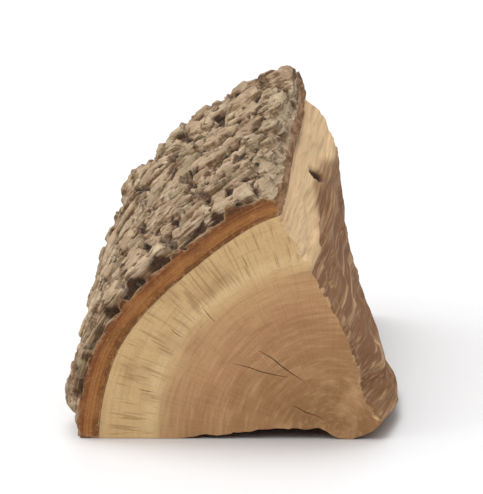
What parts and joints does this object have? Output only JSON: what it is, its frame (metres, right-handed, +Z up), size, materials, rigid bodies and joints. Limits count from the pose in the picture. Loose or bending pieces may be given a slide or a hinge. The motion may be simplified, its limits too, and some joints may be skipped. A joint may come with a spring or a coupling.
{
  "type": "split log",
  "caption": "Quarter-split hardwood firewood log with furrowed bark on its round side, sawn ends and two grain-split faces, for burning, stacking or display.",
  "frame": {"origin": "middle of the log's box, on the surface that it lies on", "axes": "+Z up, +Y along the grain from the near sawn end to the far one, +X to the right of someone who looks at the near sawn end, away from the bark"},
  "size_m": [0.1382, 0.33, 0.1108],
  "materials": {
    "wood": "raw sawn and split hardwood, pale sapwood outside and browner heartwood inside",
    "bark": "dry furrowed bark, grey and tan plates outside and reddish brown where it is cut"
  },
  "bodies": {
    "root": {"wood": "wood", "bark": "bark"}
  },
  "joints": []
}
